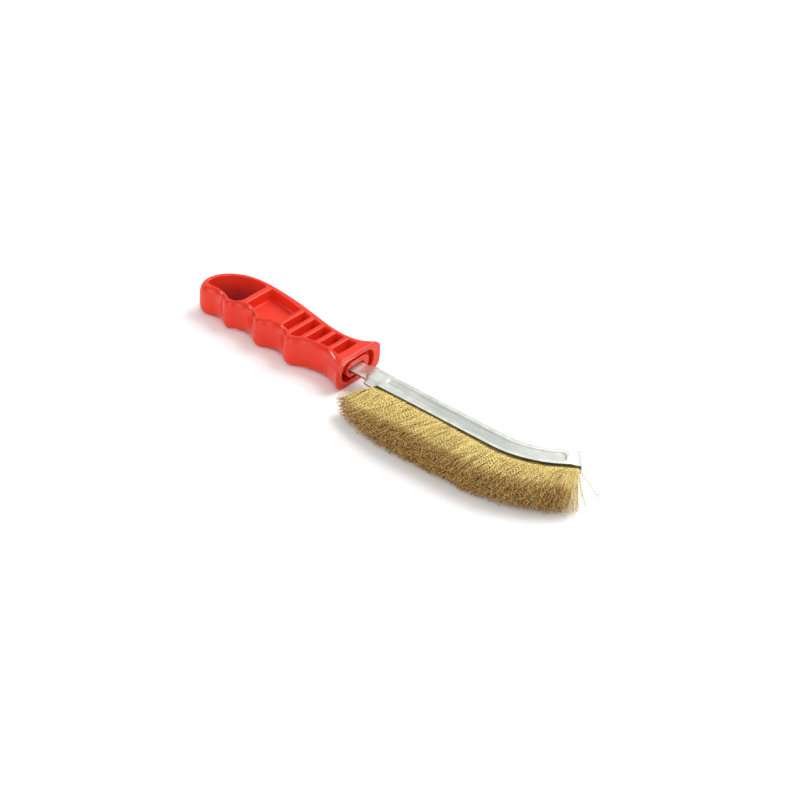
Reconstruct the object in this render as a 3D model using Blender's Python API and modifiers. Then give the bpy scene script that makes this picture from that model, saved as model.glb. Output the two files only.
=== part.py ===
"""Hand wire brush with a moulded plastic grip and a curved sheet-steel brush strip.

The brush lies on its side.  X runs along the grip towards the strip's tip, Z is the
thickness and the wires point to -Y.  While it is modelled, X = 0 is the grip's front
face and Z = 0 the surface it lies on; at the end the whole brush is moved so that the
middle of its box stands over the origin.  All lengths are in metres.
"""

import math

import bmesh
import bpy
from mathutils import Matrix, Vector

# Driving dimensions ---------------------------------------------------------------

GAP = 0.0003                 # clearance between two pieces that touch

# Grip: a flat moulding with finger grooves, hollowed from both faces.
GRIP_THICKNESS = 0.020
GRIP_EDGE_RADIUS = 0.003     # rounding of the rim, which also widens the outline
MID_HEIGHT = GRIP_THICKNESS / 2
POCKET_DEPTH = 0.0065        # from each face, which leaves a web in the middle

# Flat top's outline, from the front far corner round the back to the front near one.
GRIP_OUTLINE = (
    (0.000, 0.0145), (-0.004, 0.0113), (-0.009, 0.0090), (-0.018, 0.0080),
    (-0.030, 0.0093), (-0.045, 0.0127), (-0.060, 0.0160), (-0.075, 0.0183),
    (-0.088, 0.0192), (-0.099, 0.0180), (-0.108, 0.0138), (-0.114, 0.0070),
    (-0.116, -0.0005), (-0.1143, -0.0070), (-0.110, -0.0082), (-0.104, -0.0062),
    (-0.0975, -0.0073), (-0.091, -0.0108), (-0.085, -0.0078), (-0.0785, -0.0066),
    (-0.072, -0.0088), (-0.065, -0.0130), (-0.0585, -0.0100), (-0.052, -0.0090),
    (-0.0455, -0.0110), (-0.039, -0.0152), (-0.031, -0.0112), (-0.018, -0.0090),
    (-0.007, -0.0113), (0.000, -0.0145),
)

# Inside of the rim: place along X, near wall and far wall.
HOLLOW = (
    (-0.1130, -0.0036, 0.0030), (-0.1115, -0.0046, 0.0066), (-0.1085, -0.0046, 0.0106),
    (-0.1040, -0.0042, 0.0141), (-0.0980, -0.0052, 0.0164), (-0.0915, -0.0086, 0.0172),
    (-0.0880, -0.0084, 0.0171), (-0.0845, -0.0056, 0.0167), (-0.0785, -0.0046, 0.0160),
    (-0.0720, -0.0066, 0.0151), (-0.0650, -0.0104, 0.0140), (-0.0590, -0.0084, 0.0127),
    (-0.0520, -0.0072, 0.0111), (-0.0455, -0.0090, 0.0098), (-0.0390, -0.0128, 0.0084),
    (-0.0310, -0.0090, 0.0070), (-0.0180, -0.0070, 0.0060), (-0.0060, -0.0090, 0.0066),
)
HANGING_HOLE = (-0.1130, -0.0845)
LABEL_POCKET = (-0.0805, -0.053)
FIRST_SLOT = -0.0500
SLOT_PITCH = 0.0094
SLOT_WIDTH = 0.0063
SLOT_COUNT = 5

# Front face of the grip: an oval moat round a boss that holds the strip's tang.
MOAT_HALF = (0.0140, 0.0068)
BOSS_HALF = (0.0096, 0.0048)
MOAT_DEPTH = 0.006
MOAT_RADIUS = 0.0055
BOSS_RADIUS = 0.004

# Brush strip: a folded sheet channel, straight and then bent towards +Y.
SHEET = 0.0008
CHANNEL_HALF_WIDTH = 0.007   # across the strip, along Y where it is straight
CHANNEL_HALF_DEPTH = 0.003   # along Z
FOLD_RADIUS = 0.0012
STRIP_START_Y = -0.0032      # where the strip's middle meets the grip's front face
STRIP_TILT = math.radians(-1.2)
STRAIGHT_LENGTH = 0.104
BEND_RADIUS = 0.054
BEND_ANGLE = math.radians(39.5)
STRIP_END = 0.1515           # distance from the grip's front face to the tip, along it
CHANNEL_START = 0.0165

# Tang: the two sheets pressed flat together, pushed into the grip.
TANG_END = -0.038
TANG_HALF_WIDTH = 0.005
TANG_HALF_DEPTH = 0.0009
SHOULDER = (0.0110, 0.0150, 0.0202)
SHOULDER_NEAR_HALF = 0.0092

# Core wire that the brush wires are bent round, inside the channel.
CORE_RADIUS = 0.0008
CORE_OFFSET = 0.0032
CORE_START = 0.0215
CORE_END = 0.1500

# Brush wires, grouped in tufts along the channel.
TUFT_COUNT = 24
TUFTS_START = 0.0216
TUFTS_END = 0.1506
TUFT_GAP = 0.0004
TUFT_REACH = 0.0382          # from the strip's middle line to the middle of the tips
REAR_LEAN = math.radians(-14)
REAR_LEAN_LENGTH = 0.026
TIP_LEAN = math.radians(27)

MERGE = 0.00005


# Scene and shared helpers ---------------------------------------------------------

def clear_scene():
    for item in list(bpy.data.objects):
        bpy.data.objects.remove(item, do_unlink=True)


def new_collection(name):
    collection = bpy.data.collections.new(name)
    bpy.context.scene.collection.children.link(collection)
    return collection


def plain_material(name, colour, roughness, metallic):
    material = bpy.data.materials.new(name)
    material.use_nodes = True
    shader = material.node_tree.nodes["Principled BSDF"]
    shader.inputs["Base Color"].default_value = (*colour, 1.0)
    shader.inputs["Roughness"].default_value = roughness
    shader.inputs["Metallic"].default_value = metallic
    return material


def red_plastic():
    return plain_material("red_plastic", (0.72, 0.045, 0.03), 0.3, 0.0)


def zinc_steel():
    return plain_material("zinc_steel", (0.72, 0.74, 0.73), 0.32, 1.0)


def core_steel():
    return plain_material("core_steel", (0.5, 0.5, 0.5), 0.4, 1.0)


def brassed_wire():
    return plain_material("brassed_wire", (0.72, 0.52, 0.2), 0.35, 1.0)


def add_object(name, mesh, collection, parent, material=None):
    """Link a mesh as a named object with its own material."""
    item = bpy.data.objects.new(name, mesh)
    collection.objects.link(item)
    item.parent = parent
    if material is not None:
        mesh.materials.clear()
        mesh.materials.append(material)
    return item


def make_cutter(item):
    item.hide_render = True
    item.display_type = "WIRE"
    return item


def cut(target, cutter, operation="DIFFERENCE"):
    boolean = target.modifiers.new(operation.lower() + "_" + cutter.name, "BOOLEAN")
    boolean.operation = operation
    boolean.solver = "EXACT"
    boolean.object = cutter


def curve_to_mesh(curve_item, name):
    """Turn a curve object into a closed mesh and remove the curve."""
    depsgraph = bpy.context.evaluated_depsgraph_get()
    mesh = bpy.data.meshes.new_from_object(curve_item.evaluated_get(depsgraph))
    mesh.name = name
    mesh.transform(curve_item.matrix_world)
    shape = bmesh.new()
    shape.from_mesh(mesh)
    bmesh.ops.remove_doubles(shape, verts=shape.verts, dist=MERGE)
    bmesh.ops.recalc_face_normals(shape, faces=shape.faces)
    shape.to_mesh(mesh)
    shape.free()
    bpy.data.objects.remove(curve_item, do_unlink=True)
    return mesh


def outline_prism(name, points, sharp, half_height, edge_radius, steps):
    """Fill a flat outline and extrude it about Z = 0, with rounded edges."""
    curve = bpy.data.curves.new(name + "_curve", "CURVE")
    curve.dimensions = "2D"
    curve.fill_mode = "BOTH"
    curve.resolution_u = steps
    curve.extrude = half_height - edge_radius
    curve.bevel_depth = edge_radius
    curve.bevel_resolution = 2
    spline = curve.splines.new("BEZIER")
    spline.bezier_points.add(len(points) - 1)
    spline.use_cyclic_u = True
    for index, (point, corner) in enumerate(zip(points, sharp)):
        knot = spline.bezier_points[index]
        knot.co = (*point, 0.0)
        kind = "VECTOR" if corner else "AUTO"
        knot.handle_left_type = kind
        knot.handle_right_type = kind
    item = bpy.data.objects.new(name + "_curve", curve)
    bpy.context.scene.collection.objects.link(item)
    bpy.context.view_layer.update()
    return curve_to_mesh(item, name)


def box_mesh(name, low, high):
    mesh = bpy.data.meshes.new(name)
    shape = bmesh.new()
    bmesh.ops.create_cube(shape, size=1.0)
    size = Vector(high) - Vector(low)
    middle = (Vector(high) + Vector(low)) / 2
    bmesh.ops.scale(shape, verts=shape.verts, vec=size)
    bmesh.ops.translate(shape, verts=shape.verts, vec=middle)
    shape.to_mesh(mesh)
    shape.free()
    return mesh


def loft(name, rings):
    """Join rings of points, all with the same count, and close both ends."""
    mesh = bpy.data.meshes.new(name)
    shape = bmesh.new()
    rows = [[shape.verts.new(point) for point in ring] for ring in rings]
    count = len(rows[0])
    for row, following in zip(rows, rows[1:]):
        for index in range(count):
            after = (index + 1) % count
            shape.faces.new((row[index], row[after], following[after], following[index]))
    shape.faces.new(rows[0])
    shape.faces.new(rows[-1])
    bmesh.ops.recalc_face_normals(shape, faces=shape.faces)
    shape.to_mesh(mesh)
    shape.free()
    return mesh


def smooth_round_faces(mesh, angle=math.radians(35)):
    mesh.shade_smooth()
    mesh.set_sharp_from_angle(angle=angle)


# The strip's path -----------------------------------------------------------------

def path_angle(distance):
    """Direction of the strip at a distance from the grip's front face."""
    turned = (distance - STRAIGHT_LENGTH) / BEND_RADIUS
    return STRIP_TILT + min(max(turned, 0.0), BEND_ANGLE)


def path_point(distance):
    """The strip's middle line: straight, one arc, and straight again."""
    start = Vector((0.0, STRIP_START_Y))
    ahead = Vector((math.cos(STRIP_TILT), math.sin(STRIP_TILT)))
    if distance <= STRAIGHT_LENGTH:
        return start + ahead * distance
    point = start + ahead * STRAIGHT_LENGTH
    turned = min((distance - STRAIGHT_LENGTH) / BEND_RADIUS, BEND_ANGLE)
    left = Vector((-ahead.y, ahead.x))
    point += ahead * BEND_RADIUS * math.sin(turned)
    point += left * BEND_RADIUS * (1.0 - math.cos(turned))
    beyond = distance - STRAIGHT_LENGTH - BEND_RADIUS * BEND_ANGLE
    if beyond > 0.0:
        angle = STRIP_TILT + BEND_ANGLE
        point += Vector((math.cos(angle), math.sin(angle))) * beyond
    return point


def on_strip(distance, across, height):
    """Place a point given along the strip, across it (+ is +Y) and above its middle."""
    angle = path_angle(distance)
    side = Vector((-math.sin(angle), math.cos(angle)))
    place = path_point(distance) + side * across
    return Vector((place.x, place.y, MID_HEIGHT + height))


def bend_to_path(mesh):
    """Move a mesh modelled straight, with X along the strip, onto its path."""
    for vertex in mesh.vertices:
        vertex.co = on_strip(vertex.co.x, vertex.co.y, vertex.co.z)


def stations(start, end, step):
    """Distances along the strip, evenly spaced and no more than a step apart."""
    count = max(1, math.ceil((end - start) / step))
    return [start + (end - start) * index / count for index in range(count + 1)]


# Grip -----------------------------------------------------------------------------

def grip_body():
    """The grip's outline as a slab with rounded rims, before it is hollowed."""
    last = len(GRIP_OUTLINE) - 1
    corners = [index in (0, last) for index in range(last + 1)]
    half = GRIP_THICKNESS / 2
    mesh = outline_prism("grip", GRIP_OUTLINE, corners, half, GRIP_EDGE_RADIUS, 5)
    mesh.transform(Matrix.Translation((0.0, 0.0, MID_HEIGHT)))
    return mesh


def hollow_walls(place):
    """Near and far wall of the space inside the rim, at a place along X."""
    for before, after in zip(HOLLOW, HOLLOW[1:]):
        if before[0] <= place <= after[0]:
            share = (place - before[0]) / (after[0] - before[0])
            return tuple(before[i] + share * (after[i] - before[i]) for i in (1, 2))
    raise ValueError("outside the hollow part of the grip")


def rounded_block(name, half_width, half_height, radius, x_low, x_high):
    """A block along X whose section in Y and Z is a rectangle with round corners."""
    section = []
    for quarter in range(4):
        corner_y = (half_width - radius) * (1 if quarter in (0, 3) else -1)
        corner_z = (half_height - radius) * (1 if quarter in (0, 1) else -1)
        for step in range(5):
            angle = math.radians(90 * quarter + 22.5 * step)
            section.append((corner_y + radius * math.cos(angle),
                            MID_HEIGHT + corner_z + radius * math.sin(angle)))
    return loft(name, [[(x, y, z) for y, z in section] for x in (x_low, x_high)])


def pocket_cutter(name, span, depths, cutters, root):
    """The space inside the rim between two places along X and two heights."""
    inside = [row[0] for row in HOLLOW if span[0] < row[0] < span[1]]
    places = [span[0], *inside, span[1]]
    near = [(x, hollow_walls(x)[0]) for x in places]
    far = [(x, hollow_walls(x)[1]) for x in reversed(places)]
    rings = [[(x, y, z) for x, y in near + far] for z in depths]
    return make_cutter(add_object(name, loft(name, rings), cutters, root))


def pocket_list():
    """Every hollow in the grip's faces: name, span along X and depth from each face."""
    pockets = [("label_pocket", LABEL_POCKET, POCKET_DEPTH)]
    for index in range(SLOT_COUNT):
        start = FIRST_SLOT + index * SLOT_PITCH
        pockets.append((f"slot_{index + 1}", (start, start + SLOT_WIDTH), POCKET_DEPTH))
    return pockets


def build_grip(parts, cutters, root):
    grip = add_object("grip", grip_body(), parts, root, red_plastic())
    beyond = 0.004
    through = (-beyond, GRIP_THICKNESS + beyond)
    cut(grip, pocket_cutter("hanging_hole", HANGING_HOLE, through, cutters, root))
    for name, span, depth in pocket_list():
        above = (GRIP_THICKNESS - depth, GRIP_THICKNESS + beyond)
        below = (-beyond, depth)
        cut(grip, pocket_cutter(name + "_top", span, above, cutters, root))
        cut(grip, pocket_cutter(name + "_bottom", span, below, cutters, root))
    moat = rounded_block("moat", *MOAT_HALF, MOAT_RADIUS, -MOAT_DEPTH, 0.010)
    boss = rounded_block("boss", *BOSS_HALF, BOSS_RADIUS, -0.015, 0.020)
    moat_cutter = make_cutter(add_object("moat", moat, cutters, root))
    boss_cutter = make_cutter(add_object("boss", boss, cutters, root))
    cut(moat_cutter, boss_cutter)
    cut(grip, moat_cutter)
    socket = tang_block("tang_socket", GAP, 0.006)
    cut(grip, make_cutter(add_object("tang_socket", socket, cutters, root)))
    return grip


# Brush strip ----------------------------------------------------------------------

def tang_block(name, clearance, end):
    """The flat tang, from inside the grip to a place in front of it."""
    start = TANG_END - clearance
    width = TANG_HALF_WIDTH + clearance
    depth = TANG_HALF_DEPTH + clearance
    mesh = box_mesh(name, (start, -width, -depth), (end, width, depth))
    bend_to_path(mesh)
    return mesh


def shoulder_block():
    """The solid root between the tang and the channel, wider on the wires' side."""
    narrow = TANG_HALF_WIDTH - 0.0002
    wide = CHANNEL_HALF_WIDTH - 0.0004
    rows = (
        (SHOULDER[0] - 0.001, -narrow, narrow, 0.0007),
        (SHOULDER[0], -narrow, narrow, 0.0008),
        (SHOULDER[1], -SHOULDER_NEAR_HALF, wide, 0.0026),
        (SHOULDER[2], -SHOULDER_NEAR_HALF, wide, 0.0028),
    )
    rings = [((along, near, -depth), (along, far, -depth),
              (along, far, depth), (along, near, depth))
             for along, near, far, depth in rows]
    mesh = loft("shoulder", rings)
    bend_to_path(mesh)
    return mesh


def channel_section():
    """Outer line of the folded sheet, from one free edge round the spine to the other."""
    near = -CHANNEL_HALF_WIDTH
    far = CHANNEL_HALF_WIDTH
    depth = CHANNEL_HALF_DEPTH
    line = [(near, depth)]
    for step in range(4):
        angle = math.radians(90 - 30 * step)
        line.append((far - FOLD_RADIUS + FOLD_RADIUS * math.cos(angle),
                     depth - FOLD_RADIUS + FOLD_RADIUS * math.sin(angle)))
    line += [(y, -z) for y, z in reversed(line)]
    return line


def channel_sheet():
    """The channel as a bare surface, modelled straight."""
    line = channel_section()
    mesh = bpy.data.meshes.new("ferrule")
    shape = bmesh.new()
    places = [CHANNEL_START, 0.06]
    places += stations(STRAIGHT_LENGTH, STRAIGHT_LENGTH + BEND_RADIUS * BEND_ANGLE, 0.0025)
    places.append(STRIP_END)
    rings = [[shape.verts.new((s, y, z)) for y, z in line] for s in places]
    for ring, following in zip(rings, rings[1:]):
        for index in range(len(line) - 1):
            shape.faces.new((ring[index], following[index],
                             following[index + 1], ring[index + 1]))
    bmesh.ops.recalc_face_normals(shape, faces=shape.faces)
    shape.to_mesh(mesh)
    shape.free()
    bend_to_path(mesh)
    return mesh


def build_ferrule(parts, cutters, root):
    ferrule = add_object("ferrule", channel_sheet(), parts, root, zinc_steel())
    wall = ferrule.modifiers.new("sheet", "SOLIDIFY")
    wall.thickness = SHEET
    wall.offset = -1.0
    wall.use_even_offset = True
    shoulder = make_cutter(add_object("shoulder", shoulder_block(), cutters, root))
    cut(ferrule, shoulder, "UNION")
    tang = tang_block("tang", 0.0, SHOULDER[0] + 0.001)
    cut(ferrule, make_cutter(add_object("tang", tang, cutters, root)), "UNION")
    return ferrule


def core_tube(name, radius, start, end):
    """A round wire along the strip, inside the channel."""
    places = [start, 0.06] + stations(STRAIGHT_LENGTH, end, 0.003)
    curve = bpy.data.curves.new(name + "_curve", "CURVE")
    curve.dimensions = "3D"
    curve.bevel_depth = radius
    curve.bevel_resolution = 1
    curve.use_fill_caps = True
    spline = curve.splines.new("POLY")
    spline.points.add(len(places) - 1)
    for knot, distance in zip(spline.points, places):
        knot.co = (*on_strip(distance, CORE_OFFSET, 0.0), 1.0)
    item = bpy.data.objects.new(name + "_curve", curve)
    bpy.context.scene.collection.objects.link(item)
    bpy.context.view_layer.update()
    return curve_to_mesh(item, name)


def build_core_wire(parts, root):
    mesh = core_tube("core_wire", CORE_RADIUS, CORE_START, CORE_END)
    smooth_round_faces(mesh)
    return add_object("core_wire", mesh, parts, root, core_steel())


# Tufts of brush wire --------------------------------------------------------------

def wire_lean(distance):
    """How far the wires lean from straight -Y, towards the tip, at a distance."""
    if distance < TUFTS_START + REAR_LEAN_LENGTH:
        share = (distance - TUFTS_START) / REAR_LEAN_LENGTH
        return REAR_LEAN * (1.0 - max(share, 0.0)) ** 2
    bent = (path_angle(distance) - STRIP_TILT) / BEND_ANGLE
    return TIP_LEAN * bent


def on_tuft(distance, reach, height):
    """A point of a tuft: square to the strip in the channel, leaning outside it."""
    inside = min(reach, CHANNEL_HALF_WIDTH)
    place = on_strip(distance, -inside, height)
    outside = reach - inside
    lean = wire_lean(distance)
    return place + Vector((math.sin(lean), -math.cos(lean), 0.0)) * outside


def tuft_sections():
    """Reach, height above and depth below the middle: root, neck, fan and tips."""
    root = CHANNEL_HALF_WIDTH - SHEET - GAP
    neck = CHANNEL_HALF_DEPTH - SHEET - GAP
    return (
        (-root, neck, neck),
        (CHANNEL_HALF_WIDTH, neck, neck),
        (0.0120, 0.0031, 0.0034),
        (0.0220, 0.0052, 0.0061),
        (0.0352, 0.0076, MID_HEIGHT),
        (0.0374, 0.0045, 0.0050),
        (TUFT_REACH, 0.0015, 0.0015),
    )


def tuft_mesh(name, start, end):
    """One tuft between two places along the strip."""
    rings = [(on_tuft(start, reach, above), on_tuft(end, reach, above),
              on_tuft(end, reach, -below), on_tuft(start, reach, -below))
             for reach, above, below in tuft_sections()]
    return loft(name, rings)


def build_tufts(parts, cutters, root):
    """Tufts side by side along the channel, each threaded by the core wire."""
    bore = core_tube("core_bore", CORE_RADIUS + GAP, CORE_START - 0.003, CORE_END + 0.004)
    bore_cutter = make_cutter(add_object("core_bore", bore, cutters, root))
    material = brassed_wire()
    pitch = (TUFTS_END - TUFTS_START) / TUFT_COUNT
    for index in range(TUFT_COUNT):
        start = TUFTS_START + index * pitch
        name = f"wire_tuft_{index + 1:02d}"
        mesh = tuft_mesh(name, start, start + pitch - TUFT_GAP)
        tuft = add_object(name, mesh, parts, root, material.copy())
        cut(tuft, bore_cutter)


# Whole brush ----------------------------------------------------------------------

def stand_over_origin(parts, root):
    """Move the brush so that the middle of its box, seen from above, is the origin."""
    bpy.context.view_layer.update()
    depsgraph = bpy.context.evaluated_depsgraph_get()
    corners = []
    for item in parts.objects:
        if item.type == "MESH":
            seen = item.evaluated_get(depsgraph)
            corners += [seen.matrix_world @ Vector(corner) for corner in seen.bound_box]
    middle = [(min(c[axis] for c in corners) + max(c[axis] for c in corners)) / 2
              for axis in (0, 1)]
    root.location = (-middle[0], -middle[1], 0.0)
    bpy.context.view_layer.update()


def build_brush():
    clear_scene()
    parts = new_collection("wire_brush")
    cutters = new_collection("wire_brush_cutters")
    root = bpy.data.objects.new("wire_brush_root", None)
    parts.objects.link(root)
    build_grip(parts, cutters, root)
    build_ferrule(parts, cutters, root)
    build_core_wire(parts, root)
    build_tufts(parts, cutters, root)
    stand_over_origin(parts, root)


build_brush()
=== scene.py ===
"""Looks of the wire brush: a moulded grip, a folded strip and crimped wires on the CAD frame."""
import math

import bpy
import numpy as np
from mathutils import Matrix, Vector


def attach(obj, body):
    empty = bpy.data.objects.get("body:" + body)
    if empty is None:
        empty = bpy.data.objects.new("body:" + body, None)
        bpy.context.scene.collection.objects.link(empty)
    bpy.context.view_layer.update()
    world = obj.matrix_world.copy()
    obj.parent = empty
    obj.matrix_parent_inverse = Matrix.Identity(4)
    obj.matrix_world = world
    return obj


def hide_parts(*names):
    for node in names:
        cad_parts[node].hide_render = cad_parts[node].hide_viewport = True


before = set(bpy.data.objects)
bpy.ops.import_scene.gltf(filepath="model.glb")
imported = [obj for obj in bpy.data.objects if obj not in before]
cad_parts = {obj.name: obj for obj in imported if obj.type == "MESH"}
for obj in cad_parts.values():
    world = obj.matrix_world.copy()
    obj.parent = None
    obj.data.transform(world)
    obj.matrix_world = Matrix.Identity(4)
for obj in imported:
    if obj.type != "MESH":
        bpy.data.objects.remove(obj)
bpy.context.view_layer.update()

MM = 0.001
ORIGIN = (-0.022559, 0.01067, 0.0)      # where the CAD's own zero is in the frame, in metres

# All sizes below are in millimetres from there.  X = 0 is where the grip's flat top ends at
# the front, and Z = 0 is the floor.
MID = 10.0                              # height of the brush's middle plane
HALF = 10.0                             # half the grip's thickness

# The strip's path, as in the CAD
STRIP_START_Y = -3.2
STRIP_TILT = math.radians(-1.2)
STRAIGHT = 104.0
BEND_RADIUS = 54.0
BEND = math.radians(39.5)
STRIP_END = 151.5

# The outline of the grip's flat top, from the far front corner round the back to the near
# one.  Its first and last points carry the guard's flare on past the front face.
OUTLINE = (
    (6.0, 21.0), (0.0, 14.5), (-4.0, 11.3), (-9.0, 9.0), (-18.0, 8.0), (-30.0, 9.3),
    (-45.0, 12.7), (-60.0, 16.0), (-75.0, 18.3), (-88.0, 19.2), (-99.0, 18.0),
    (-108.0, 13.8), (-114.0, 7.0), (-116.0, -0.5), (-114.3, -7.0), (-110.0, -8.2),
    (-104.0, -6.2), (-97.5, -7.3), (-91.0, -10.8), (-85.0, -7.8), (-78.5, -6.6),
    (-72.0, -8.8), (-65.0, -13.0), (-58.5, -10.0), (-52.0, -9.0), (-45.5, -11.0),
    (-39.0, -15.2), (-31.0, -11.2), (-18.0, -9.0), (-7.0, -11.3), (0.0, -14.5),
    (6.0, -19.5),
)
OUTLINE_STEPS = 9                       # line pieces between two of its points
# Place along X, near wall and far wall of the space inside the rim
HOLLOW = np.array((
    (-113.0, -3.6, 3.0), (-111.5, -4.6, 6.6), (-108.5, -4.6, 10.6), (-104.0, -4.2, 14.1),
    (-98.0, -5.2, 16.4), (-91.5, -8.6, 17.2), (-88.0, -8.4, 17.1), (-84.5, -5.6, 16.7),
    (-78.5, -4.6, 16.0), (-72.0, -6.6, 15.1), (-65.0, -10.4, 14.0), (-59.0, -8.4, 12.7),
    (-52.0, -7.2, 11.1), (-45.5, -9.0, 9.8), (-39.0, -12.8, 8.4), (-31.0, -9.0, 7.0),
    (-18.0, -7.0, 6.0), (-6.0, -9.0, 6.6),
))
HANGING_HOLE = (-113.6, -84.5)
LABEL_POCKET = (-80.5, -53.0)
SLOT_PITCH = 9.4
SLOTS = [(-50.0 + SLOT_PITCH * i, -43.7 + SLOT_PITCH * i) for i in range(5)]
POCKET_DEPTH = 6.5
POCKET_FILLET = 1.3
NEAR_THIN = 1.0                         # the near rim is a little thinner than the CAD's
SIDE_CROWN = 2.3                        # how far the sides stand out at mid height
GUARD_CROWN = 1.7                       # how much more they do at the guard
GUARD = (-15.0, -1.0)                   # where the guard starts and is full, along X
FRONT = 0.5                             # the front face, 2.5 mm behind the CAD's wider one
RIM_RADIUS = 0.6                        # round the top and bottom edges
FRONT_RADIUS = 0.9                      # round the front face
OPENING_RADIUS = 0.55                   # round every hole and pocket
SIDE_SLOPE = 0.88                       # scales the side's field to about a true distance
WALL_SLOPE = 0.93                       # and the same for the inner walls
SEAM = 9.0                              # the mould's parting line, above and below the middle, where a line of shade is painted

# The grip's front face: a boss in an oval moat, and in the boss a socket with a slot for the
# tang.  Each half is half a size along Y and half a size along Z.
BOSS_HALF = (9.8, 5.0)
BOSS_RADIUS = 4.7
MOAT_HALF = (14.2, 6.8)
MOAT_RADIUS = 6.2
MOAT_DEPTH = 6.5
MOAT_WALL = 2.0                         # least wall between the moat and the sides
MOAT_FILLET = 0.8
BOSS_EDGE = 0.4                         # rounding between the boss and the moat
SOCKET_Y = -1.5
SOCKET_HALF = (6.9, 2.0)
SOCKET_RADIUS = 1.5
SOCKET_DEPTH = 1.4
SOCKET_FILLET = 0.5
TANG_SLOT_Y = -1.85
TANG_SLOT_HALF = (6.35, 0.95)
TANG_SLOT_RADIUS = 0.3
TANG_SLOT_DEPTH = 38.4


# Place on the strip ---------------------------------------------------------------
# s is the distance along the strip from X = 0, and across, or c, is the distance from its
# middle line, away from the wires.  Height, or h, is above its middle.

def path_angle(s):
    """Direction of the strip at s, from +X."""
    return STRIP_TILT + np.clip((s - STRAIGHT) / BEND_RADIUS, 0.0, BEND)


def path_point(s):
    """The strip's middle at s."""
    angle = path_angle(s)
    ahead = np.minimum(s, STRAIGHT)
    beyond = np.maximum(s - STRAIGHT - BEND_RADIUS * BEND, 0.0)
    x = math.cos(STRIP_TILT) * ahead + BEND_RADIUS * (np.sin(angle) - math.sin(STRIP_TILT))
    y = math.sin(STRIP_TILT) * ahead + BEND_RADIUS * (math.cos(STRIP_TILT) - np.cos(angle))
    x = x + math.cos(STRIP_TILT + BEND) * beyond
    y = y + math.sin(STRIP_TILT + BEND) * beyond
    return x, STRIP_START_Y + y


def on_strip(s, across, height):
    """The point at this distance across the strip and height above its middle."""
    angle = path_angle(s)
    x, y = path_point(s)
    return np.stack([x - np.sin(angle) * across, y + np.cos(angle) * across,
                     MID + height], -1)


def to_world(points):
    """From the sizes of this script to the frame, in metres."""
    return points * MM + np.array(ORIGIN)


# Shapes by signed distance --------------------------------------------------------

def both(a, b, radius):
    """Where both shapes are, with the edge between them rounded."""
    over = np.hypot(np.maximum(a + radius, 0.0), np.maximum(b + radius, 0.0))
    return np.minimum(np.maximum(a, b), -radius) + over


def ease(low, high, value):
    """Smooth step from 0 at low to 1 at high."""
    t = np.clip((value - low) / (high - low), 0.0, 1.0)
    return t * t * (3.0 - 2.0 * t)


def smooth_line(points, steps):
    """A Catmull-Rom line through points, which starts and ends at sharp corners."""
    p = np.array(points, float)
    p = np.vstack([2 * p[0] - p[1], p, 2 * p[-1] - p[-2]])
    t = (np.arange(steps) / steps)[:, None]
    out = []
    for a, b, c, d in zip(p, p[1:], p[2:], p[3:]):
        out.append(0.5 * (2 * b + (c - a) * t + (2 * a - 5 * b + 4 * c - d) * t ** 2
                          + (3 * b - a - 3 * c + d) * t ** 3))
    return np.vstack(out + [p[-2:-1]])


def polygon_distance(points, polygon):
    """Signed distance from points to a closed polygon, negative inside."""
    a = polygon
    b = np.roll(polygon, -1, 0)
    edge = b - a
    result = np.empty(len(points))
    for start in range(0, len(points), 8000):
        p = points[start:start + 8000, None, :]
        along = ((p - a) * edge).sum(-1) / (edge ** 2).sum(-1)
        away = p - a - np.clip(along, 0, 1)[..., None] * edge
        distance = np.sqrt((away ** 2).sum(-1).min(1))
        above = a[:, 1] > p[..., 1]
        crosses = above != (b[:, 1] > p[..., 1])
        with np.errstate(divide="ignore", invalid="ignore"):
            at = a[:, 0] + (p[..., 1] - a[:, 1]) / (b[:, 1] - a[:, 1]) * edge[:, 0]
        inside = (crosses & (p[..., 0] < at)).sum(1) % 2 == 1
        result[start:start + 8000] = np.where(inside, -distance, distance)
    return result


class PlanTable:
    """A table of values over the plan view, read between its points."""

    def __init__(self, low, high, step):
        self.low = np.array(low, float)
        self.step = step
        self.size = np.ceil((np.array(high) - self.low) / step).astype(int) + 1
        axes = [self.low[i] + step * np.arange(self.size[i]) for i in (0, 1)]
        x, y = np.meshgrid(*axes, indexing="ij")
        self.points = np.stack([x.ravel(), y.ravel()], -1)
        self.values = None

    def read(self, x, y):
        u = np.clip((x - self.low[0]) / self.step, 0, self.size[0] - 1.001)
        v = np.clip((y - self.low[1]) / self.step, 0, self.size[1] - 1.001)
        i = u.astype(int)
        j = v.astype(int)
        u = u - i
        v = v - j
        f = self.values
        return ((f[i, j] * (1 - u) + f[i + 1, j] * u) * (1 - v)
                + (f[i, j + 1] * (1 - u) + f[i + 1, j + 1] * u) * v)


PLAN_LOW = (-124.0, -26.0)
PLAN_HIGH = (8.0, 28.0)
PLAN_STEP = 0.35


def outline_table():
    """Distance to the outline, over the plan view."""
    distance = PlanTable(PLAN_LOW, PLAN_HIGH, PLAN_STEP)
    line = smooth_line(OUTLINE, OUTLINE_STEPS)
    distance.values = polygon_distance(distance.points, line).reshape(distance.size)
    return distance


DISTANCE = outline_table()
WALL_X = np.linspace(HOLLOW[0, 0] - 2.0, HOLLOW[-1, 0] + 2.0, 500)
WALL_BLUR = 5.0                         # in steps of WALL_X
BLUR_REACH = 16


def smooth_wall(column):
    """One wall of the hollow as a smooth line along X."""
    wall = np.interp(WALL_X, HOLLOW[:, 0], HOLLOW[:, column])
    kernel = np.exp(-0.5 * (np.arange(-BLUR_REACH, BLUR_REACH + 1) / WALL_BLUR) ** 2)
    padded = np.pad(wall, BLUR_REACH, mode="edge")
    return np.convolve(padded, kernel / kernel.sum(), mode="valid")


NEAR_WALL = smooth_wall(1) - NEAR_THIN
FAR_WALL = smooth_wall(2)


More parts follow.
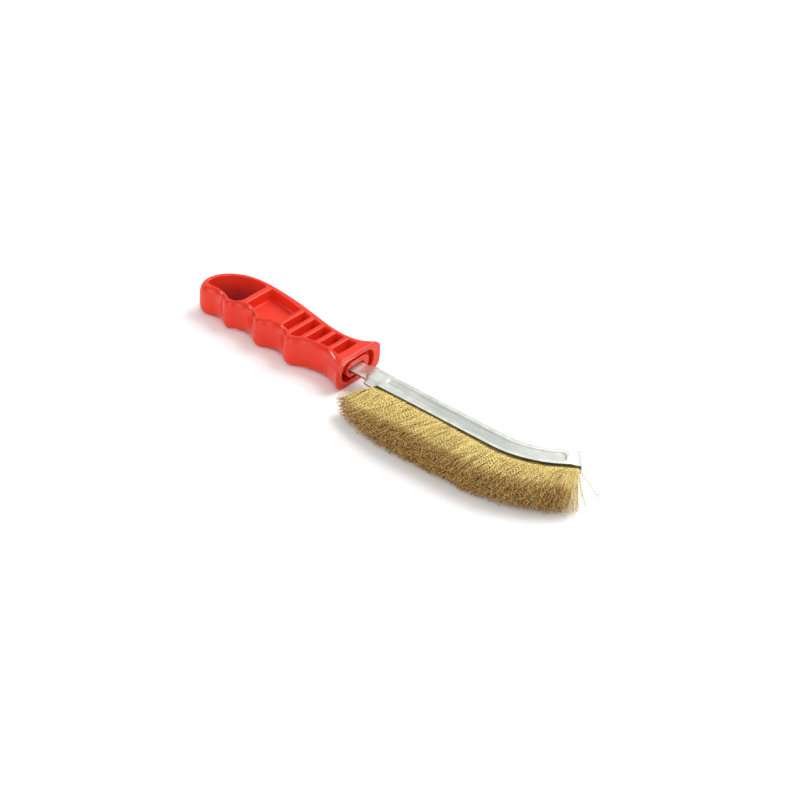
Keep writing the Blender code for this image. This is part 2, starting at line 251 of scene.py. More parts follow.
def pocket(x, y, h, span, corner, draft, floor=None):
    """A space inside the rim, narrower towards the middle plane, the same from both faces.

    Without a floor it goes right through.
    """
    near = np.interp(x, WALL_X, NEAR_WALL)
    far = np.interp(x, WALL_X, FAR_WALL)
    flat = both(np.maximum(near - y, y - far) * WALL_SLOPE,
                np.maximum(span[0] - x, x - span[1]), corner)
    walls = flat + draft * (HALF - h)
    if floor is None:
        return walls
    return both(walls, floor - h, POCKET_FILLET)


def round_box(u, v, half, radius):
    """Distance to a rectangle with round corners."""
    a = np.abs(u) - half[0] + radius
    b = np.abs(v) - half[1] + radius
    outside = np.hypot(np.maximum(a, 0), np.maximum(b, 0))
    return outside + np.minimum(np.maximum(a, b), 0.0) - radius


def pocket_spaces(x, y, h):
    """The hanging hole, the label pocket and the slots, each walled in by the rim."""
    floor = HALF - POCKET_DEPTH
    spaces = pocket(x, y, h, HANGING_HOLE, corner=2.6, draft=0.05)
    label = pocket(x, y, h, LABEL_POCKET, corner=1.2, draft=0.10, floor=floor)
    spaces = np.minimum(spaces, label)
    for span in SLOTS:
        slot = pocket(x, y, h, span, corner=1.0, draft=0.09, floor=floor)
        spaces = np.minimum(spaces, slot)
    return spaces


def front_spaces(x, y, z, side):
    """The moat round the boss, the socket and the tang's slot, open at the front face."""
    boss = round_box(y, z - MID, BOSS_HALF, BOSS_RADIUS)
    moat = both(round_box(y, z - MID, MOAT_HALF, MOAT_RADIUS), -boss, BOSS_EDGE)
    within = both(side + MOAT_WALL, -MOAT_DEPTH - x, MOAT_FILLET)
    moat = both(moat, within, MOAT_FILLET)
    socket = round_box(y - SOCKET_Y, z - MID, SOCKET_HALF, SOCKET_RADIUS)
    socket = both(socket, -SOCKET_DEPTH - x, SOCKET_FILLET)
    slot = round_box(y - TANG_SLOT_Y, z - MID, TANG_SLOT_HALF, TANG_SLOT_RADIUS)
    slot = np.maximum(slot, -TANG_SLOT_DEPTH - x)
    return np.minimum(np.minimum(moat, socket), slot)


def grip_field(p):
    """Distance to the grip's surface, negative inside the plastic."""
    x, y, z = p[:, 0], p[:, 1], p[:, 2]
    h = np.abs(z - MID)
    t = np.clip(h / HALF, 0.0, 1.1)
    crown = SIDE_CROWN + GUARD_CROWN * ease(*GUARD, x)
    side = (DISTANCE.read(x, y) - crown * (1.0 - t ** 4)) * SIDE_SLOPE
    body = both(h - HALF, side, RIM_RADIUS)
    body = both(body, x - FRONT, FRONT_RADIUS)
    spaces = np.minimum(pocket_spaces(x, y, h), front_spaces(x, y, z, side))
    return both(body, -spaces, OPENING_RADIUS)


def surface(field, low, high, steps):
    """A closed quad mesh of field = 0, by surface nets.

    Each grid cell that the surface crosses gets one point, at the mean of the crossings on
    its edges, and each grid edge that it crosses gets one quad, through the cells round it.
    """
    low = np.array(low, float)
    steps = np.array(steps, float)
    size = np.ceil((np.array(high) - low) / steps).astype(int) + 1
    grids = np.meshgrid(*[low[i] + steps[i] * np.arange(size[i]) for i in range(3)],
                        indexing="ij")
    values = field(np.stack([g.ravel() for g in grids], -1)).reshape(size)
    cells = tuple(size - 1)
    total = np.zeros(cells + (3,))
    count = np.zeros(cells)
    quads = []
    for axis in range(3):
        a = values[tuple(slice(0, -1) if i == axis else slice(None) for i in range(3))]
        b = values[tuple(slice(1, None) if i == axis else slice(None) for i in range(3))]
        cross = (a < 0) != (b < 0)
        with np.errstate(divide="ignore", invalid="ignore"):
            share = np.where(cross, a / (a - b), 0.0)
        others = [i for i in range(3) if i != axis]
        for p in (0, 1):
            for q in (0, 1):
                cut = [slice(None)] * 3
                cut[others[0]] = slice(p, p + cells[others[0]])
                cut[others[1]] = slice(q, q + cells[others[1]])
                here = cross[tuple(cut)]
                count += here
                total[..., axis] += np.where(here, share[tuple(cut)], 0.0)
                total[..., others[0]] += p * here
                total[..., others[1]] += q * here
        found = np.argwhere(cross)
        found = found[(found[:, others[0]] > 0) & (found[:, others[1]] > 0)]
        u = np.eye(3, dtype=int)[others[0]]
        v = np.eye(3, dtype=int)[others[1]]
        ring = np.stack([found - u - v, found - v, found, found - u], 1)
        flip = (a[tuple(found.T)] < 0) != (axis == 1)
        quads.append(np.where(flip[:, None, None], ring, ring[:, ::-1]))
    used = count > 0
    number = np.full(cells, -1)
    number[used] = np.arange(used.sum())
    place = np.argwhere(used) + total[used] / count[used][:, None]
    verts = low + place * steps
    quads = np.vstack(quads)
    faces = number[tuple(np.moveaxis(quads, -1, 0))]
    return verts, faces


def field_slope(field, points, gap):
    """Gradient of the field at each point."""
    gradient = np.empty_like(points)
    for axis in range(3):
        move = np.zeros(3)
        move[axis] = gap
        gradient[:, axis] = (field(points + move) - field(points - move)) / (2 * gap)
    return gradient


def settle(field, verts, faces, limit, gap):
    """Even the mesh out a little and bring it onto the surface, with its normals.

    No point moves further than limit.
    """
    edges = np.vstack([faces[:, [0, 1]], faces[:, [1, 2]], faces[:, [2, 3]], faces[:, [3, 0]]])
    start = verts.copy()
    degree = np.bincount(edges.ravel(), minlength=len(verts))[:, None]
    for turn in range(4):
        total = np.stack([
            np.bincount(edges[:, 0], verts[edges[:, 1], i], len(verts))
            + np.bincount(edges[:, 1], verts[edges[:, 0], i], len(verts))
            for i in range(3)], -1)
        if turn < 2:
            verts = 0.6 * verts + 0.4 * total / degree
        slope = field_slope(field, verts, gap)
        square = np.maximum((slope ** 2).sum(-1), 0.05)
        verts = verts - (field(verts) / square)[:, None] * slope
        verts = start + np.clip(verts - start, -limit, limit)
    slope = field_slope(field, verts, gap)
    return verts, slope / np.maximum(np.linalg.norm(slope, axis=1), 1e-6)[:, None]


def mesh_object(name, verts, faces, normals=None):
    """A smooth mesh whose faces all have the same number of corners."""
    mesh = bpy.data.meshes.new(name)
    size = faces.shape[1]
    mesh.vertices.add(len(verts))
    mesh.vertices.foreach_set("co", verts.astype(np.float32).ravel())
    mesh.loops.add(faces.size)
    mesh.loops.foreach_set("vertex_index", faces.astype(np.int32).ravel())
    mesh.polygons.add(len(faces))
    mesh.polygons.foreach_set("loop_start", np.arange(0, faces.size, size, dtype=np.int32))
    mesh.polygons.foreach_set("use_smooth", np.ones(len(faces), bool))
    mesh.update(calc_edges=True)
    mesh.validate()
    if normals is not None:
        mesh.normals_split_custom_set_from_vertices(normals.tolist())
    item = bpy.data.objects.new(name, mesh)
    bpy.context.scene.collection.objects.link(item)
    return item


def add_value(item, name, values):
    """A number on every point, which the piece's material reads by name."""
    attribute = item.data.attributes.new(name, "FLOAT", "POINT")
    attribute.data.foreach_set("value", values.astype(np.float32))


def fit_piece(item, node, material):
    """Let the piece take the place of a CAD node."""
    item.data.materials.append(material)
    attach(item, "root")
    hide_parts(node)


# Material nodes -------------------------------------------------------------------

class Nodes:
    """A new material's node tree, with short ways to add to it."""

    def __init__(self, name):
        self.material = bpy.data.materials.new(name)
        self.material.use_nodes = True
        self.tree = self.material.node_tree
        self.shader = self.tree.nodes["Principled BSDF"]

    def add(self, kind, inputs=(), **settings):
        node = self.tree.nodes.new("ShaderNode" + kind)
        for key, value in settings.items():
            setattr(node, key, value)
        for key, value in dict(inputs).items():
            self.put(node.inputs[key], value)
        return node

    def put(self, socket, value):
        if isinstance(value, bpy.types.NodeSocket):
            self.tree.links.new(value, socket)
        else:
            socket.default_value = value

    def set(self, **inputs):
        for key, value in inputs.items():
            self.put(self.shader.inputs[key.replace("_", " ")], value)

    def place(self):
        return self.add("TexCoord").outputs["Object"]

    def noise(self, scale, detail=3.0, roughness=0.55, vector=None):
        node = self.add("TexNoise", {"Scale": scale, "Detail": detail,
                                     "Roughness": roughness})
        self.put(node.inputs["Vector"], vector or self.place())
        return node.outputs["Fac"]

    def stretched(self, scale):
        return self.add("Mapping", {"Vector": self.place(), "Scale": scale}).outputs[0]

    def span(self, value, low, high, to_low, to_high):
        node = self.add("MapRange", {"Value": value, "From Min": low, "From Max": high,
                                     "To Min": to_low, "To Max": to_high})
        return node.outputs[0]

    def math(self, operation, a, b):
        node = self.add("Math", operation=operation)
        self.put(node.inputs[0], a)
        self.put(node.inputs[1], b)
        return node.outputs[0]

    def mix(self, share, a, b):
        node = self.add("Mix", data_type="RGBA")
        self.put(node.inputs[0], share)
        self.put(node.inputs[6], a)
        self.put(node.inputs[7], b)
        return node.outputs[2]

    def value(self, name):
        return self.add("Attribute", attribute_name=name).outputs["Fac"]

    def bump(self, height, strength, distance):
        node = self.add("Bump", {"Height": height, "Strength": strength,
                                 "Distance": distance})
        return node.outputs[0]


# Materials ------------------------------------------------------------------------

def red_plastic():
    """Glossy moulded plastic: slight flow marks, soft scuffs, paler worn edges.

    It is matt inside the pockets. Painted shade darkens it low in the hanging hole and in a
    thin line along the mould's parting line, where a small step would lie in shade.
    """
    n = Nodes("red_moulded_plastic")
    flow = n.noise(28.0, 3.0, 0.5, n.stretched((0.35, 1.0, 1.0)))
    # Paler rubbed wear on the sharp edges.
    wear_and_tip_shade = n.span(n.add("NewGeometry").outputs["Pointiness"], 0.505, 0.56, 0.0, 1.0)
    rubbed = n.math("MULTIPLY", wear_and_tip_shade, n.span(n.noise(90.0), 0.35, 0.6, 0.35, 1.0))
    base = n.mix(n.span(flow, 0.35, 0.65, 0.0, 1.0), (0.72, 0.022, 0.003, 1.0),
                 (0.79, 0.030, 0.006, 1.0))
    base = n.mix(n.math("MULTIPLY", rubbed, 0.55), base, (0.80, 0.07, 0.045, 1.0))
    # Painted shade: the hanging hole's wall turns darker towards its bottom.
    base = n.mix(n.math("MULTIPLY", n.value("deep"), 0.8), base, (0.33, 0.010, 0.006, 1.0))
    # Painted shade: a thin dark line along the parting line, standing in for a small step's shade.
    level = n.add("SeparateXYZ", {"Vector": n.place()}).outputs["Z"]
    level = n.math("ABSOLUTE", n.math("SUBTRACT", level, MID * MM), 0.0)
    offset = n.math("ABSOLUTE", n.math("SUBTRACT", level, SEAM * MM), 0.0)
    seam_shade = n.math("MULTIPLY", n.value("side"), n.span(offset, 0.0, 0.0005, 1.0, 0.0))
    base = n.mix(n.math("MULTIPLY", seam_shade, 0.5), base, (0.26, 0.010, 0.006, 1.0))
    scuffs = n.noise(420.0, 4.0, 0.6, n.stretched((0.25, 1.0, 1.0)))
    grain = n.noise(2600.0, 2.0, 0.5)
    height = n.math("ADD", n.math("MULTIPLY", scuffs, 0.5), n.math("MULTIPLY", grain, 0.4))
    rough = n.math("ADD", n.span(scuffs, 0.3, 0.7, 0.15, 0.26),
                   n.math("MULTIPLY", n.value("inside"), 0.35))
    n.set(Base_Color=base, Roughness=rough, Normal=n.bump(height, 0.08, 0.0002))
    n.set(Specular_IOR_Level=0.42)
    return n.material


def galvanised_steel():
    """Zinc-coated folded sheet: pale, streaked, greyer where pressed and at the tip, with painted
    shade on the fold's rounding and over the near sheared edge's bare steel.
    """
    n = Nodes("galvanised_sheet")
    cloud = n.noise(150.0, 4.0, 0.6)
    streak = n.noise(700.0, 4.0, 0.65, n.stretched((0.12, 1.0, 1.0)))
    base = n.mix(n.span(cloud, 0.35, 0.65, 0.0, 1.0), (0.66, 0.68, 0.62, 1.0),
                 (0.84, 0.86, 0.79, 1.0))
    # Greyer in the recess, the step and at the tip, and painted shade on the fold's rounding.
    greying_and_fold_shade = n.math("MULTIPLY", n.value("grey_and_fold_shade"), n.span(streak, 0.25, 0.7, 1.0, 0.6))
    base = n.mix(greying_and_fold_shade, base, (0.46, 0.49, 0.455, 1.0))
    # Painted shade on the near cut edge, darker than its bare sheared steel would be.
    base = n.mix(n.math("MULTIPLY", n.value("bare_edge_and_shade"), 0.9), base, (0.07, 0.07, 0.065, 1.0))
    rough = n.math("ADD", n.span(streak, 0.3, 0.7, 0.30, 0.44),
                   n.math("MULTIPLY", n.value("grey_and_fold_shade"), 0.08))
    height = n.math("ADD", n.math("MULTIPLY", streak, 0.3), cloud)
    n.set(Base_Color=base, Roughness=rough, Normal=n.bump(height, 0.30, 0.0004))
    n.set(Metallic=0.85)
    return n.material


def dull_steel():
    """The plain wire inside the channel, with a patchy finish."""
    n = Nodes("core_wire_steel")
    patch = n.noise(600.0, 3.0)
    n.set(Base_Color=n.mix(patch, (0.30, 0.30, 0.29, 1.0), (0.48, 0.47, 0.45, 1.0)),
          Roughness=n.span(patch, 0.3, 0.7, 0.35, 0.55))
    n.set(Metallic=1.0)
    return n.material


def brass_wire():
    """Brass-plated wire, browner in patches, with painted highlights on its crimps' crests,
    painted shade in their troughs and painted brown shade at the tip.
    """
    n = Nodes("brassed_wire")
    # Each wire's own tone, plus painted highlights on upward crests and painted shade in troughs.
    tone_and_crest_light = n.value("tone_and_crest_light")
    patch = n.noise(350.0, 2.0)
    base = n.mix(tone_and_crest_light, (0.30, 0.11, 0.01, 1.0), (1.0, 0.83, 0.33, 1.0))
    base = n.mix(n.span(patch, 0.5, 0.8, 0.0, 0.4), base, (0.50, 0.28, 0.09, 1.0))
    # Painted shade: each wire browner and darker towards its tip.
    base = n.mix(n.math("MULTIPLY", n.value("wear_and_tip_shade"), 0.62), base, (0.44, 0.165, 0.025, 1.0))
    n.set(Base_Color=base)
    n.set(Metallic=0.15, Roughness=0.28)
    return n.material


# Grip -----------------------------------------------------------------------------

GRIP_BOX = ((-121.0, -20.0, -1.0), (4.5, 24.0, 21.0))
GRIP_STEPS = (0.5, 0.5, 0.5)
GRIP_INSIDE_END = -6.0                  # the moat ahead of this is left glossy


def mark_grip(grip, verts, normals):
    """Mark the pockets' insides, the hanging hole's painted shade and the moulding's sides."""
    x = verts[:, 0]
    height = verts[:, 2] - MID
    from_outline = DISTANCE.read(x, verts[:, 1])
    within = from_outline < -0.7
    below = ease(HALF - 0.3, HALF - 1.2, np.abs(height))
    add_value(grip, "inside", within * below * (x < GRIP_INSIDE_END))
    # Painted shade in the hanging hole, darkest low on its wall.
    painted_hole_shade = ease(7.0, -7.0, height) * (x < HANGING_HOLE[1])
    add_value(grip, "deep", painted_hole_shade * within)
    upright = np.abs(normals[:, 2]) < 0.93
    side = (from_outline > -0.5) & upright & (x < FRONT - 1.2)
    add_value(grip, "side", np.where(side, 1.0, 0.0))


def build_grip():
    verts, faces = surface(grip_field, *GRIP_BOX, GRIP_STEPS)
    verts, normals = settle(grip_field, verts, faces, 0.35, 0.12)
    grip = mesh_object("grip_moulding", to_world(verts), faces, normals)
    mark_grip(grip, verts, normals)
    fit_piece(grip, "grip", red_plastic())


# Ferrule --------------------------------------------------------------------------

SHEET = 0.8
TANG_END = -38.0
HOLLOW_START = 20.6                     # where the open channel starts
FERRULE_BOX = ((-39.5, -11.5, -3.8), (153.0, 8.2, 3.8))
FERRULE_STEPS = (0.6, 0.27, 0.27)

# Place along the strip and place across it, of both edges and of the recess's near edge
NEAR_EDGE = np.array(((-40.0, -4.6), (0.0, -4.1), (10.8, -4.0), (12.2, -4.6), (13.6, -7.4),
                      (15.0, -8.0), (20.5, -8.4), (22.2, -7.6), (146.0, -7.2),
                      (151.5, -8.2)))
FAR_EDGE = np.array(((-40.0, 7.2), (0.0, 7.4), (12.0, 7.4), (24.0, 7.0), (152.0, 7.0)))
RECESS_NEAR = np.array(((20.0, -1.6), (30.0, -2.0), (60.0, -2.6), (100.0, -4.0),
                        (112.0, -4.7), (145.0, -4.4)))
RECESS_FAR = 3.2
RECESS_ENDS = (24.5, 143.5)
RECESS_CORNER = 2.4
RECESS_DEPTH = 0.62
STEP_NEAR = -5.2                        # the shallow step beside the recess
STEP_DEPTH = 0.30

FOLD_INSIDE = 6.2                       # how far the hollow reaches across, to the fold
TANG_RISE = 0.6                         # half the thickness of the tang
CHANNEL_RISE = 2.4                      # how much thicker half the channel is
ROOT_RISE = 0.55                        # half the thickness of the flat ear at the root
DENT_PLACE = (20.0, -5.2)
DENT_DEPTH = 0.12
DENT_SPREAD = 1.6                       # in square millimetres
TIP_PINCH = 0.5                         # how much thinner half the channel is at the tip


def pressed_depth(s, c):
    """Share of their full depths to which the long recess and the step are pressed."""
    near = np.interp(s, RECESS_NEAR[:, 0], RECESS_NEAR[:, 1])
    ends = 0.8 * np.maximum(RECESS_ENDS[0] - s, s - RECESS_ENDS[1])
    recess = both(np.maximum(near - c, c - RECESS_FAR), ends, RECESS_CORNER)
    step = np.maximum(STEP_NEAR - c, c - RECESS_FAR)
    deep = 1.0 - ease(-0.55, 0.35, recess)
    shallow = 1.0 - ease(-0.9, 0.5, step)
    shallow = shallow * ease(34.0, 60.0, s) * (1.0 - ease(95.0, 125.0, s))
    return deep, shallow


def half_depth(s, c):
    """Height of the sheet's outside above the strip's middle."""
    rise = TANG_RISE + CHANNEL_RISE * ease(4.5, 15.5, s + 0.25 * c)
    near = np.interp(s, NEAR_EDGE[:, 0], NEAR_EDGE[:, 1])
    flat = (1.0 - ease(near + 0.4, near + 4.2, c)) * (1.0 - ease(20.5, 24.0, s))
    rise = rise + (ROOT_RISE - rise) * flat
    dent = np.exp(-((s - DENT_PLACE[0]) ** 2 + (c - DENT_PLACE[1]) ** 2) / DENT_SPREAD)
    pinch = TIP_PINCH * ease(145.0, 150.5, s)
    deep, shallow = pressed_depth(s, c)
    return rise - DENT_DEPTH * dent - pinch - RECESS_DEPTH * deep - STEP_DEPTH * shallow


def ferrule_field(p):
    """Distance to the steel's surface on the strip laid straight, negative inside."""
    s, c, h = p[:, 0], p[:, 1], np.abs(p[:, 2])
    near = np.interp(s, NEAR_EDGE[:, 0], NEAR_EDGE[:, 1])
    far = np.interp(s, FAR_EDGE[:, 0], FAR_EDGE[:, 1])
    top = h - half_depth(s, c)
    fold_radius = 1.5 * ease(8.0, 16.0, s) + 0.25
    outside = both(top, c - far, fold_radius)
    outside = both(outside, (near - c) * 0.85, 0.18)
    outside = both(outside, np.maximum(TANG_END - s, s - STRIP_END), 0.35)
    hollow = both(top + SHEET, c - FOLD_INSIDE, SHEET)
    hollow = np.maximum(hollow, np.maximum(HOLLOW_START - s, s - STRIP_END + SHEET))
    return np.maximum(outside, -hollow)


def turn_normals(normals, angle):
    """Turn each normal with the strip's direction."""
    return np.stack([normals[:, 0] * np.cos(angle) - normals[:, 1] * np.sin(angle),
                     normals[:, 0] * np.sin(angle) + normals[:, 1] * np.cos(angle),
                     normals[:, 2]], -1)


def mark_strip(strip, s, c, h, facing_near):
    """Mark greyer steel at the tip and the pressed parts, and painted shade at the fold and cut
    edge.
    """
    deep, shallow = pressed_depth(s, c)
    outer = np.abs(h) > half_depth(s, c) - 0.3
    # Painted shade greying the fold's rounding; the tip end is greyer too.
    edges = 0.5 * ease(5.2, 6.6, c) * ease(10.0, 24.0, s)
    edges = np.maximum(edges, 0.9 * ease(149.2, 150.9, s))
    greying_and_fold_shade = np.maximum(edges, np.where(outer, deep * 0.8 + shallow * 0.5, 0.0))
    add_value(strip, "grey_and_fold_shade", greying_and_fold_shade)
    near = np.interp(s, NEAR_EDGE[:, 0], NEAR_EDGE[:, 1])
    # Painted shade on the near cut edge, over the bare sheared steel.
    add_value(strip, "bare_edge_and_shade", ease(0.35, 0.8, facing_near) * (c < near + 0.6))


def build_ferrule():
    verts, faces = surface(ferrule_field, *FERRULE_BOX, FERRULE_STEPS)
    verts, normals = settle(ferrule_field, verts, faces, 0.22, 0.08)
    s, c, h = verts[:, 0], verts[:, 1], verts[:, 2]
    turned = turn_normals(normals, path_angle(s))
    strip = mesh_object("strip_folded", to_world(on_strip(s, c, h)), faces, turned)
    mark_strip(strip, s, c, h, -normals[:, 1])
    fit_piece(strip, "ferrule", galvanised_steel())


# Wires ----------------------------------------------------------------------------

TUFTS = 24
TUFTS_START = 21.6
TUFTS_END = 150.6
WIRES_PER_TUFT = 180
WIRE_RADIUS = 0.21
WIRE_POINTS = 76
WIRE_SIDES = 3
FIRST_SEED = 100
FLOOR_GAP = 0.02

# A wire's reach is its distance from the strip's middle line, out along the wire.
ROOT_REACH = 5.0                        # where a wire starts, inside the channel
EDGE_REACH = 7.0                        # where it leaves the channel
TIP_REACH = 38.2
# Reach, and how far above and below the middle the outermost wires are there
REACH_ROWS = np.array(((5.0, 1.2, 1.7), (8.5, 1.9, 1.8), (12.0, 3.1, 3.6), (22.0, 5.2, 6.6),
                       (35.2, 7.6, 9.7), (39.0, 8.2, 9.75)))

REAR_LEAN = math.radians(-9.0)          # of the wires nearest the grip
REAR_LENGTH = 26.0                      # of the stretch over which it fades
TIP_LEAN = math.radians(14.0)           # of the wires at the strip's tip
LEAN_SPREAD = math.radians(8.0)
STRAY_SHARE = 0.02
STRAY_SPREAD = math.radians(14.0)
TIP_FAN = math.radians(30.0)            # the most that a wire at the tip splays out
TIP_FAN_LENGTH = 9.0
CRIMP_PITCH = (2.1, 3.1)
CRIMP_SWING = (0.45, 0.85)
SHADE = (1.06, 0.30)                    # mean and spread; 1 and more is the brightest wire
CREST_LIGHT = 0.8                       # painted light: how much brighter an upward crest, and darker a trough, is than the wire's mean
TIP_SHADE_LENGTH = (5.0, 0.5)                # from the tip: where the painted brown shade starts, and is full


def wire_lean(s):
    """How far the wires at s lean towards the tip."""
    share = np.clip((s - TUFTS_START) / REAR_LENGTH, 0.0, 1.0)
    rear = REAR_LEAN * (1.0 - share) ** 2
    tip = TIP_LEAN * (path_angle(s) - STRIP_TILT) / BEND
    return rear + tip


def scattered_lean(rng, s):
    """Each wire's own lean, and which wires are strays."""
    count = len(s)
    lean = wire_lean(s) + rng.normal(0.0, LEAN_SPREAD, count)
    stray = rng.random(count) < STRAY_SHARE
    lean = lean + stray * rng.normal(0.0, STRAY_SPREAD, count)
    last = ease(TUFTS_END - TIP_FAN_LENGTH, TUFTS_END, s)
    lean = lean + last * rng.uniform(0.0, 1.0, count) ** 5 * TIP_FAN
    return lean, stray


def rear_share(s):
    """1 nearest the grip, fading out along the strip."""
    return 1.0 - ease(TUFTS_START, 60.0, s)


def tip_reach(rng, s, level, stray):
    """Reach of each wire's tip: less in the top and bottom layers and at both ends."""
    count = len(s)
    length = TIP_REACH - 2.6 * np.abs(level) ** 2.5 + rng.normal(0.0, 1.0, count)
    length = length + 0.7 * np.sin(s * 0.47 + 1.0) + 0.5 * np.sin(s * 1.13 + 2.0 * level)
    length = length - 3.0 * rear_share(s)
    length = length + 0.8 * ease(30.0, 45.0, s) * (1.0 - ease(70.0, 95.0, s))
    length = length - 3.0 * (1.0 - ease(TUFTS_START, 36.0, s)) - 1.2 * ease(138.0, 150.0, s)
    return length + stray * rng.uniform(0.0, 1.5, count)


def wire_height(rng, s, level, reach):
    """Height above the middle along each wire: the tufts fan out and lie on the floor."""
    above = np.interp(reach, REACH_ROWS[:, 0], REACH_ROWS[:, 1])
    below = np.interp(reach, REACH_ROWS[:, 0], REACH_ROWS[:, 2])
    at_mouth = 1.0 - ease(10.0, 17.0, reach)
    tip_mouth = ease(60.0, 120.0, s)[:, None] * at_mouth
    rear_mouth = (1.0 - ease(TUFTS_START, 34.0, s))[:, None] * at_mouth
    above = above - 0.9 * (tip_mouth + rear_mouth)
    height = np.where(level[:, None] > 0, above, below) * level[:, None]
    rear = rear_share(s)[:, None]
    height = height * (1.0 - 0.95 * rear * (height > 0) * ease(8.0, 30.0, reach))
    outside = np.maximum(reach - EDGE_REACH, 0.0)
    return height + rng.normal(0.0, 0.022, len(s))[:, None] * outside


def wire_lines(rng, start, end, count):
    """Centre lines of crimped wires from the channel to their tips, with each wire's tone plus
    painted crest light, and painted shade at the tips.
    """
    s = rng.uniform(start, end, count)
    level = rng.uniform(-1.0, 1.0, count)
    lean, stray = scattered_lean(rng, s)
    length = tip_reach(rng, s, level, stray)[:, None]
    share = np.linspace(0.0, 1.0, WIRE_POINTS)
    reach = ROOT_REACH + (length - ROOT_REACH) * share
    height = wire_height(rng, s, level, reach)
    inside = np.minimum(reach, EDGE_REACH)
    outside = np.maximum(reach - EDGE_REACH, 0.0)
    lines = on_strip(s[:, None] + 0 * reach, -inside, height)

    pitch = rng.uniform(*CRIMP_PITCH, count)[:, None]
    phase = rng.uniform(0, 2 * math.pi, count)[:, None]
    swing = rng.uniform(*CRIMP_SWING, count)[:, None] * ease(6.0, 11.0, reach)
    turn = rng.normal(0.5 * math.pi, 0.9, count)[:, None]
    crimp = np.sin(2 * math.pi * reach / pitch + phase)
    ripple = swing * crimp
    bow = rng.normal(0.0, 0.0006, count)[:, None] * outside ** 2
    lines[..., 0] += np.sin(lean)[:, None] * outside + ripple * np.cos(turn) + bow
    lines[..., 1] -= np.cos(lean)[:, None] * outside
    lines[..., 2] += ripple * np.sin(turn)
    lines[..., 2] = np.maximum(lines[..., 2], WIRE_RADIUS + FLOOR_GAP)

    # Painted light: upward crests brighter and troughs darker, as if lit from above.
    crest_light = crimp * np.sin(turn)
    tone_and_crest_light = rng.normal(*SHADE, count)[:, None] + CREST_LIGHT * crest_light
    # Painted shade browning each wire's last few millimetres.
    wear_and_tip_shade = ease(-TIP_SHADE_LENGTH[0], -TIP_SHADE_LENGTH[1], reach - length)
    return lines, np.clip(tone_and_crest_light, 0.0, 1.0), wear_and_tip_shade


def sweep(lines, radius):
    """The points and side faces of a tube along each line, open at its ends."""
    count, points = lines.shape[:2]
    ahead = np.gradient(lines, axis=1)
    ahead /= np.linalg.norm(ahead, axis=-1, keepdims=True)
    up = np.broadcast_to(np.array((0.0, 0.0, 1.0)), lines.shape)
    side = np.cross(ahead, up)
    side /= np.linalg.norm(side, axis=-1, keepdims=True)
    top = np.cross(side, ahead)
    angles = np.arange(WIRE_SIDES) * 2 * math.pi / WIRE_SIDES
    ring = (side[:, :, None] * np.cos(angles)[:, None]
            + top[:, :, None] * np.sin(angles)[:, None])
    verts = (lines[:, :, None] + radius * ring).reshape(-1, 3)
    first = (np.arange(count)[:, None] * points + np.arange(points - 1)).ravel()
    here = first[:, None] * WIRE_SIDES
    beyond = here + WIRE_SIDES
    corner = np.arange(WIRE_SIDES)
    following = (corner + 1) % WIRE_SIDES
    quads = np.stack([here + corner, here + following, beyond + following,
                      beyond + corner], -1)
    return verts, quads.reshape(-1, 4)


def cap_ends(item, count, points):
    """Close both ends of every wire with a triangle."""
    mesh = item.data
    first = np.arange(count) * points * WIRE_SIDES
    last = first + (points - 1) * WIRE_SIDES
    caps = np.vstack([first[:, None] + (0, 2, 1), last[:, None] + (0, 1, 2)])
    loops = len(mesh.loops)
    polygons = len(mesh.polygons)
    mesh.loops.add(caps.size)
    mesh.polygons.add(len(caps))
    corners = np.zeros(loops + caps.size, np.int32)
    mesh.loops.foreach_get("vertex_index", corners)
    corners[loops:] = caps.ravel()
    mesh.loops.foreach_set("vertex_index", corners)
    starts = np.zeros(polygons + len(caps), np.int32)
    starts[:polygons] = np.arange(polygons) * 4
    starts[polygons:] = loops + WIRE_SIDES * np.arange(len(caps))
    mesh.polygons.foreach_set("loop_start", starts)
    mesh.update(calc_edges=True)


def build_wires():
    material = brass_wire()
    pitch = (TUFTS_END - TUFTS_START) / TUFTS
    for index in range(TUFTS):
        rng = np.random.default_rng(FIRST_SEED + index)
        start = TUFTS_START + index * pitch
        lines, tone_and_crest_light, wear_and_tip_shade = wire_lines(rng, start, start + pitch, WIRES_PER_TUFT)
        verts, quads = sweep(lines, WIRE_RADIUS)
        tuft = mesh_object(f"wires_{index + 1:02d}", to_world(verts), quads)
        cap_ends(tuft, WIRES_PER_TUFT, WIRE_POINTS)
        add_value(tuft, "tone_and_crest_light", np.repeat(tone_and_crest_light, WIRE_SIDES))
        add_value(tuft, "wear_and_tip_shade", np.repeat(wear_and_tip_shade, WIRE_SIDES))
        fit_piece(tuft, f"wire_tuft_{index + 1:02d}", material)


# Studio ---------------------------------------------------------------------------

CAMERA_PLACE = (589.2, -756.2, 642.3)
CAMERA_TURN = (36.387, 34.302, 4.357)   # heading, dip and roll in degrees
CAMERA_LENS = 90.285
SENSOR_WIDTH = 36.0

FLOOR_HALF = 4.0                        # metres
FLOOR_DROP = 0.0002                     # metres, so that the grip's flat face stays clear
WORLD_FADE = (0.0, 0.55)                # heights, as the sine of the angle above level
WORLD_STRENGTH = (0.22, 0.76)           # brightness of the surroundings at those two


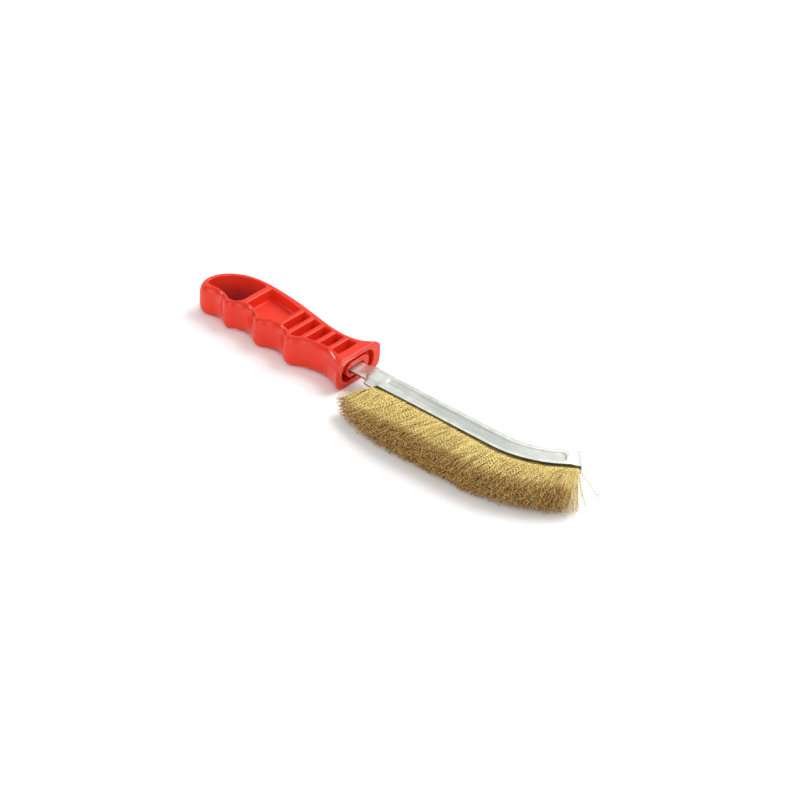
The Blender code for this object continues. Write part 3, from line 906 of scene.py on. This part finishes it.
def build_camera():
    heading, dip, roll = (math.radians(v) for v in CAMERA_TURN)
    forward = Vector((-math.sin(heading) * math.cos(dip), math.cos(heading) * math.cos(dip),
                      -math.sin(dip)))
    level = Vector((math.cos(heading), math.sin(heading), 0.0))
    upright = level.cross(forward)
    right = level * math.cos(roll) + upright * math.sin(roll)
    up = upright * math.cos(roll) - level * math.sin(roll)
    data = bpy.data.cameras.new("camera")
    data.lens = CAMERA_LENS
    data.sensor_width = SENSOR_WIDTH
    data.clip_start = 0.01
    camera = bpy.data.objects.new("camera", data)
    bpy.context.scene.collection.objects.link(camera)
    place = Matrix((right, up, -forward)).transposed().to_4x4()
    place.translation = Vector(to_world(np.array(CAMERA_PLACE)))
    camera.matrix_world = place
    bpy.context.scene.camera = camera


def floor_material():
    """White paper, barely mottled."""
    n = Nodes("studio_floor")
    paper = n.noise(40.0, 3.0)
    n.set(Base_Color=n.mix(paper, (0.92, 0.92, 0.92, 1.0), (0.94, 0.94, 0.94, 1.0)))
    n.set(Roughness=0.8, Specular_IOR_Level=0.1)
    return n.material


def build_floor():
    mesh = bpy.data.meshes.new("floor")
    half = FLOOR_HALF
    mesh.from_pydata([(-half, -half, 0), (half, -half, 0), (half, half, 0),
                      (-half, half, 0)], [], [(0, 1, 2, 3)])
    floor = bpy.data.objects.new("floor", mesh)
    floor.location.z = -FLOOR_DROP
    mesh.materials.append(floor_material())
    bpy.context.scene.collection.objects.link(floor)


def area_light(name, place, size, power):
    """A square lamp that faces the origin; place and size in metres, power in watts."""
    data = bpy.data.lights.new(name, "AREA")
    data.shape = "SQUARE"
    data.size = size
    data.energy = power
    light = bpy.data.objects.new(name, data)
    light.location = place
    light.rotation_euler = (-Vector(place)).to_track_quat("-Z", "Y").to_euler()
    bpy.context.scene.collection.objects.link(light)


def build_lights():
    area_light("key", (0.35, 1.35, 1.65), 1.6, 37.0)
    area_light("fill", (-1.5, -0.6, 0.55), 0.3, 4.5)
    area_light("side", (1.5, -0.9, 0.45), 0.6, 6.0)
    area_light("front", (0.1, -1.9, 0.42), 1.1, 6.0)


def build_world():
    """White surroundings, dimmer towards the horizon."""
    world = bpy.data.worlds.new("studio")
    world.use_nodes = True
    tree = world.node_tree
    back = tree.nodes["Background"]
    back.inputs["Color"].default_value = (1.0, 1.0, 1.0, 1.0)
    place = tree.nodes.new("ShaderNodeTexCoord")
    split = tree.nodes.new("ShaderNodeSeparateXYZ")
    fade = tree.nodes.new("ShaderNodeMapRange")
    fade.interpolation_type = "SMOOTHSTEP"
    for socket, value in zip(fade.inputs[1:5], WORLD_FADE + WORLD_STRENGTH):
        socket.default_value = value
    tree.links.new(place.outputs["Generated"], split.inputs[0])
    tree.links.new(split.outputs["Z"], fade.inputs[0])
    tree.links.new(fade.outputs[0], back.inputs["Strength"])
    bpy.context.scene.world = world
    bpy.context.scene.view_settings.view_transform = "Standard"


def dress_core():
    """The core wire keeps its CAD shape and gets its own steel."""
    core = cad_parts["core_wire"]
    core.data.materials.clear()
    core.data.materials.append(dull_steel())


build_grip()
build_ferrule()
build_wires()
dress_core()
build_floor()
build_lights()
build_world()
build_camera()
